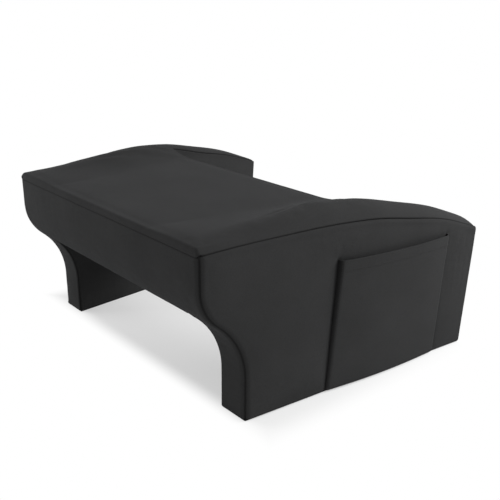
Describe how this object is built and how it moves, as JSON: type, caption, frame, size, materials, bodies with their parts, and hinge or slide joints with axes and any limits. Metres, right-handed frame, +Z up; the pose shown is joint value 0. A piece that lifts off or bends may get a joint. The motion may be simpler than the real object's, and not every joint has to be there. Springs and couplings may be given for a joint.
{
  "type": "lap tray with cushion",
  "caption": "Black cushioned lap tray with a flat top, raised padded arm rests, swept legs over the thighs and a patch pocket on one side.",
  "frame": {"origin": "bottom centre of the whole tray, on the floor plane", "axes": "+Z up, +X to the right of someone facing the front panel from behind the object's user side, towards the pocket, +Y from the front panel towards the user, between the arms"},
  "size_m": [0.7639, 0.6564, 0.3525],
  "materials": {
    "cover_cloth": "matte close-woven charcoal black cloth",
    "base_cloth": "coarse hard-wearing black cloth",
    "foam": "open-cell foam, hidden",
    "board": "bare plywood, hidden",
    "bracket_steel": "zinc plated, hidden",
    "zip_tape": "woven black tape",
    "zip_row": "black nylon coil",
    "zip_metal": "black lacquered metal"
  },
  "bodies": {
    "tray": {"cover_top": "cover_cloth", "cover_front": "cover_cloth", "cover_under": "cover_cloth", "cover_rear": "cover_cloth", "side_pocket": "cover_cloth", "cover_side_left": "cover_cloth", "cover_side_right": "cover_cloth", "cover_inner_left": "cover_cloth", "cover_inner_right": "cover_cloth", "cover_arm_end_left": "cover_cloth", "cover_arm_end_right": "cover_cloth", "cover_base_left": "base_cloth", "cover_base_right": "base_cloth", "tray_foam": "foam", "bridge_foam": "foam", "side_foam_outer_left": "foam", "side_foam_outer_right": "foam", "side_foam_inner_left": "foam", "side_foam_inner_right": "foam", "tray_board": "board", "side_board_left": "board", "side_board_right": "board", "angle_brackets_left": "bracket_steel", "angle_brackets_right": "bracket_steel", "bracket_screws": "bracket_steel", "zip_tape_front": "zip_tape", "zip_tape_rear": "zip_tape", "zip_row_front": "zip_row", "zip_row_rear": "zip_row", "zip_stops": "zip_metal"},
    "slider": {"zip_slider": "zip_metal"},
    "pull": {"zip_pull": "zip_metal"}
  },
  "joints": [
    {"name": "zip_slide", "type": "slide", "parent": "tray", "child": "slider", "axis": [-1, 0, 0], "range_m": [0, 0.43056]},
    {"name": "pull_hinge", "type": "hinge", "parent": "slider", "child": "pull", "pos_m": [0.21548, -0.014, 0.1912], "axis": [0, 1, 0], "range_deg": [-80, 80]}
  ]
}
